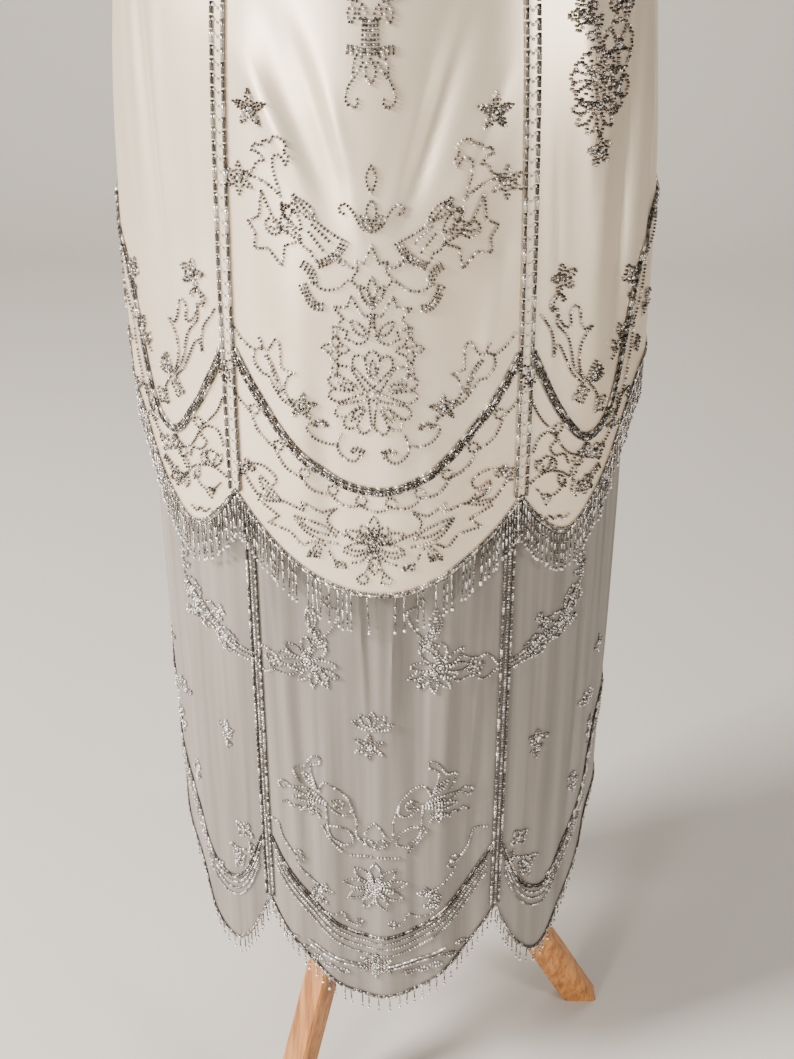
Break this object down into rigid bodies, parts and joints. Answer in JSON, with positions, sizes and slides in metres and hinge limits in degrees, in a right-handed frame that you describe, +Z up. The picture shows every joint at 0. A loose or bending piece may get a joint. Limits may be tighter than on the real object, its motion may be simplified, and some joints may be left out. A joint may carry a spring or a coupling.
{
  "type": "wedding dress on dress form stand",
  "caption": "Sleeveless long beaded wedding dress: scalloped satin over a sheer gathered skirt, fringed hems, on a limbless dress form with a wooden tripod.",
  "frame": {"origin": "on the floor, midway between the outermost points in X and in Y; the dress hangs round the vertical axis through it", "axes": "+Z up; the front of the dress faces -Y; +X is to the right for someone who looks at its front"},
  "size_m": [0.4092, 0.3753, 1.5263],
  "materials": {
    "satin": "ivory silk satin, soft sheen",
    "georgette": "sheer grey-beige silk georgette",
    "beads": "silver-lined glass beads and bugles",
    "linen": "natural linen cover, stretched over the form",
    "wood": "varnished light brown wood"
  },
  "bodies": {
    "root": {"satin_front": "satin", "satin_side_front_left": "satin", "satin_side_front_right": "satin", "satin_side_back_left": "satin", "satin_side_back_right": "satin", "satin_back": "satin", "georgette_front": "georgette", "georgette_side_front_left": "georgette", "georgette_side_front_right": "georgette", "georgette_side_back_left": "georgette", "georgette_side_back_right": "georgette", "georgette_back": "georgette", "satin_ladder_front_left": "beads", "satin_ladder_front_right": "beads", "satin_ladder_back_left": "beads", "satin_ladder_back_right": "beads", "georgette_ladder_front_left": "beads", "georgette_ladder_front_right": "beads", "georgette_ladder_back_left": "beads", "georgette_ladder_back_right": "beads", "satin_swag_front": "beads", "satin_swag_side_front_left": "beads", "satin_swag_side_front_right": "beads", "satin_swag_side_back_left": "beads", "satin_swag_side_back_right": "beads", "satin_swag_back": "beads", "georgette_swag_front": "beads", "georgette_swag_side_front_left": "beads", "georgette_swag_side_front_right": "beads", "georgette_swag_side_back_left": "beads", "georgette_swag_side_back_right": "beads", "georgette_swag_back": "beads", "satin_fringe": "beads", "georgette_fringe": "beads", "form_torso": "linen", "form_neck_cap": "wood", "stand_pole": "wood", "stand_hub": "wood", "leg_front_left": "wood", "leg_right": "wood", "leg_back_left": "wood"}
  },
  "joints": []
}
